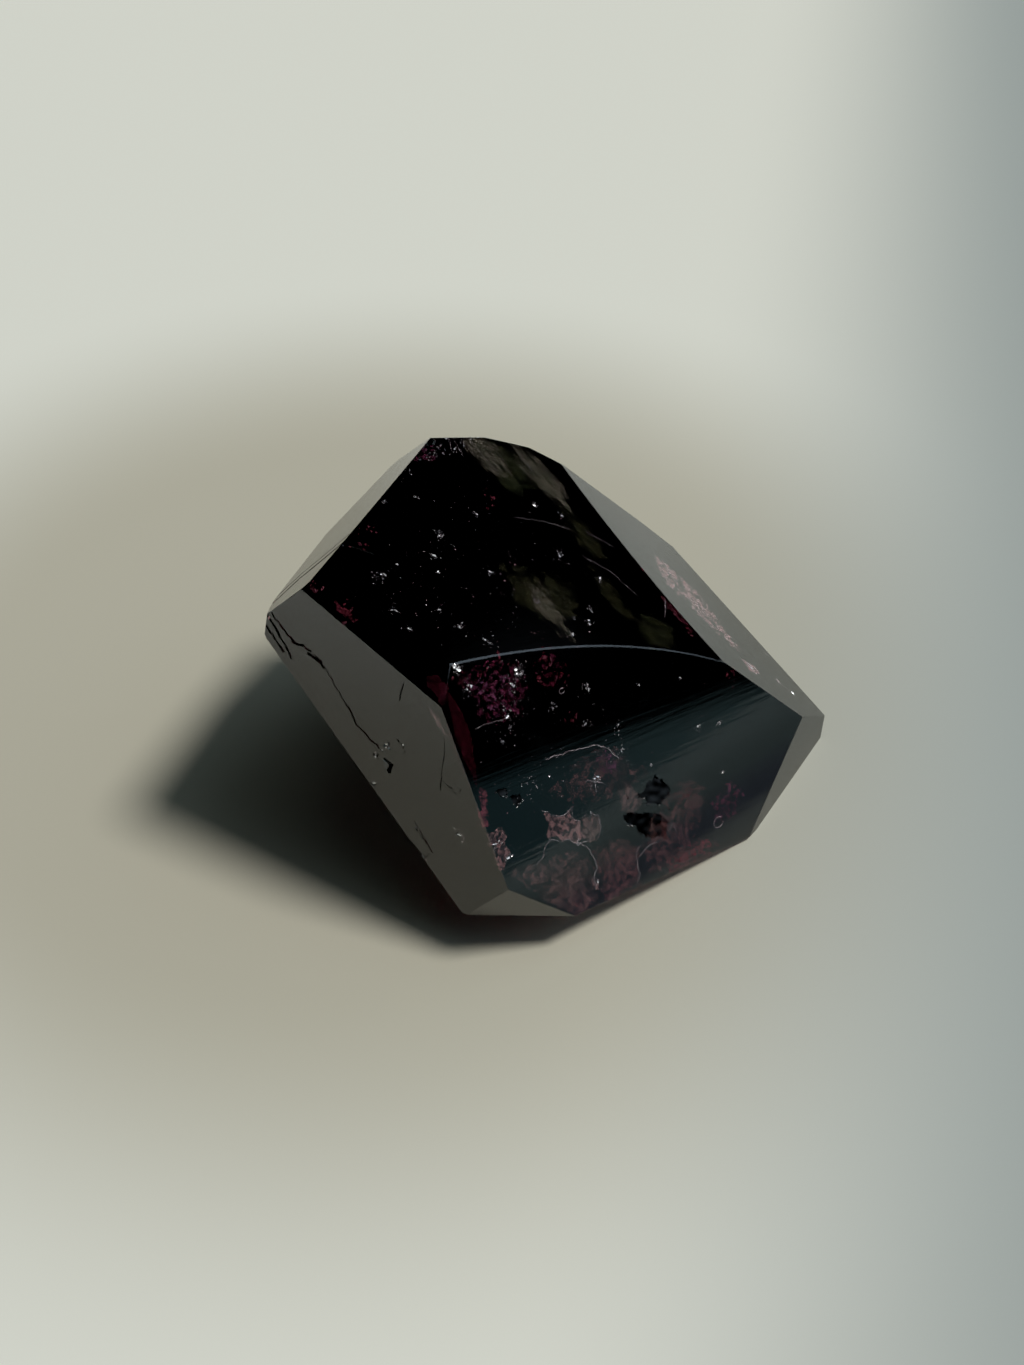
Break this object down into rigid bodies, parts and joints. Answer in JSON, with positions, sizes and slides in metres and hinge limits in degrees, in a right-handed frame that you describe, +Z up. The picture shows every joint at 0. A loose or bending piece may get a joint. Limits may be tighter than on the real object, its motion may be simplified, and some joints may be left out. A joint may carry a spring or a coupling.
{
  "type": "polished garnet crystal",
  "caption": "Free-form stone of dark wine-red garnet, cut and polished into flat faces below a gently domed top, that stands on its flat base.",
  "frame": {"origin": "bottom centre of the stone's box, on the surface that it stands on", "axes": "+Z up, +X along the longest side towards the low right end, -Y towards the large lower front face"},
  "size_m": [0.0602, 0.0488, 0.0356],
  "materials": {
    "garnet": "polished, deep wine red, near black where it is thick, with pale and red inclusions"
  },
  "bodies": {
    "root": {"garnet_crystal": "garnet"}
  },
  "joints": []
}
